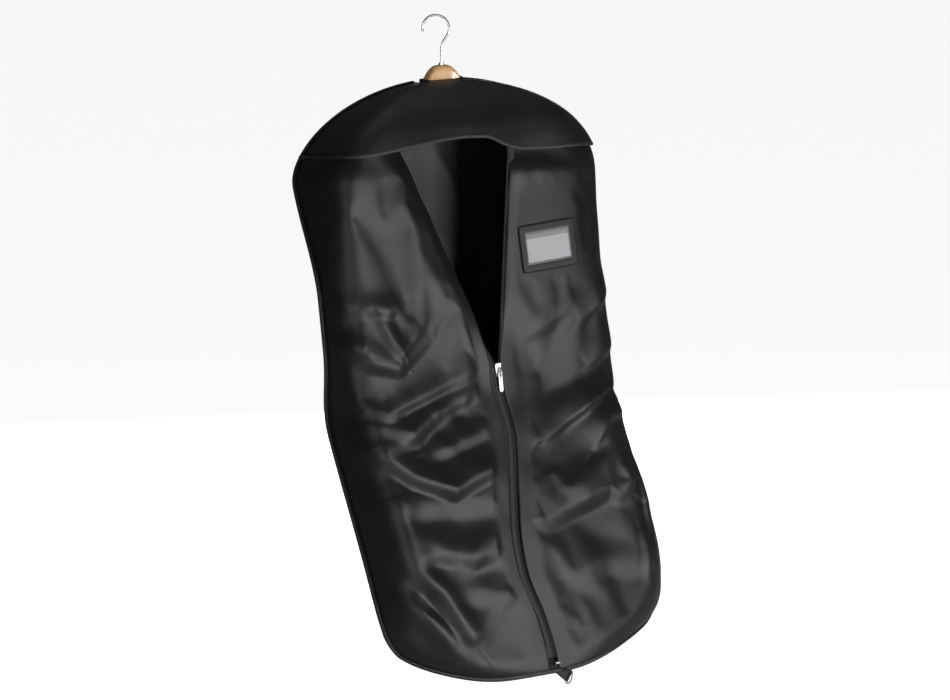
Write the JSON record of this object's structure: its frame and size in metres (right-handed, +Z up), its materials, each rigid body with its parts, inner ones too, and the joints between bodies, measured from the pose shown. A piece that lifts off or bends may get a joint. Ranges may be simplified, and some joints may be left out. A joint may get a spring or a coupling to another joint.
{
  "type": "garment bag",
  "caption": "Black fold-over garment bag with a front zip part open, a shoulder flap, a card window and a wooden hanger with a steel hook.",
  "frame": {"origin": "inside crown of the hook's loop, where it rests on a rail", "axes": "+Z up, -Y out of the bag's front, +X to the right seen from the front"},
  "size_m": [0.6081, 0.346, 1.0769],
  "materials": {
    "cloth": "satin",
    "binding": "satin",
    "zip_tape": "matte",
    "zip_coil": "satin",
    "nickel": "polished",
    "hook_metal": "polished",
    "wood": "gloss",
    "collar": "satin",
    "clear_film": "gloss",
    "card": "matte",
    "webbing": "matte"
  },
  "bodies": {
    "hook": {"hook_wire": "hook_metal"},
    "hanger": {"hanger_body": "wood", "hook_ferrule": "hook_metal"},
    "bag": {"back_panel_upper": "cloth", "upper_left_panel": "cloth", "upper_right_panel": "cloth", "shoulder_flap": "cloth", "flap_hem_binding": "binding", "collar_guard": "collar", "upper_binding_left": "binding", "upper_binding_right": "binding", "id_window_frame": "binding", "id_window_film": "clear_film", "middle_zip_coil": "zip_coil", "middle_zip_tape": "zip_tape"},
    "card": {"id_card": "card"},
    "left_edge": {"left_zip_tape": "zip_tape", "left_zip_coil": "zip_coil", "left_top_stop": "nickel"},
    "right_edge": {"right_zip_tape": "zip_tape", "right_zip_coil": "zip_coil", "right_top_stop": "nickel"},
    "slider": {"zip_slider": "nickel", "slider_bridge": "nickel"},
    "pull": {"pull_tab": "nickel"},
    "lower_bag": {"back_panel_lower": "cloth", "lower_left_panel": "cloth", "lower_right_panel": "cloth", "lower_zip_coil": "zip_coil", "lower_zip_tape": "zip_tape", "bottom_stop": "nickel", "lower_binding_left": "binding", "lower_binding_right": "binding", "bottom_binding": "binding"},
    "tab": {"webbing_tab": "webbing"},
    "ring": {"d_ring": "nickel"}
  },
  "joints": [
    {"name": "hook_swivel", "type": "hinge", "parent": "hook", "child": "hanger", "pos_m": [0.00719, -0.00542, -0.08], "axis": [0, 0, 1], "continuous": true},
    {"name": "bag_lift", "type": "slide", "parent": "hanger", "child": "bag", "axis": [0, 0.1392, 0.9903], "range_m": [0, 0.04]},
    {"name": "bag_fold", "type": "hinge", "parent": "bag", "child": "lower_bag", "pos_m": [0.00719, -0.05784, -0.63404], "axis": [1, 0, 0], "range_deg": [0, 190]},
    {"name": "zip_slide", "type": "slide", "parent": "bag", "child": "slider", "axis": [0, 0.1392, 0.9903], "range_m": [0, 0.36]},
    {"name": "pull_flip", "type": "hinge", "parent": "slider", "child": "pull", "pos_m": [0.00719, -0.16677, -0.57371], "axis": [-1, 0, 0], "range_deg": [0, 110]},
    {"name": "left_edge_close", "type": "hinge", "parent": "bag", "child": "left_edge", "pos_m": [0.00719, -0.1612, -0.57146], "axis": [0.0593, 0.9885, -0.1389], "range_deg": [0, 21.6]},
    {"name": "right_edge_close", "type": "hinge", "parent": "bag", "child": "right_edge", "pos_m": [0.00719, -0.1612, -0.57146], "axis": [0, -0.9903, 0.1392], "range_deg": [0, 9]},
    {"name": "card_slide", "type": "slide", "parent": "bag", "child": "card", "axis": [0, 0.1392, 0.9903], "range_m": [0, 0.06]},
    {"name": "tab_flex", "type": "hinge", "parent": "lower_bag", "child": "tab", "pos_m": [0.01319, -0.3179, -1.04205], "axis": [1, 0, 0], "range_deg": [-15, 45], "stiffness_Nm_per_rad": 0.02},
    {"name": "ring_swing", "type": "hinge", "parent": "tab", "child": "ring", "pos_m": [0.02812, -0.32519, -1.05924], "axis": [-0.7071, -0.2763, -0.6509], "range_deg": [-70, 70]}
  ],
  "couplings": [
    {"joint": "left_edge_close", "follows": "zip_slide", "rad_per_m": 1.0472},
    {"joint": "right_edge_close", "follows": "zip_slide", "rad_per_m": 0.43633}
  ]
}
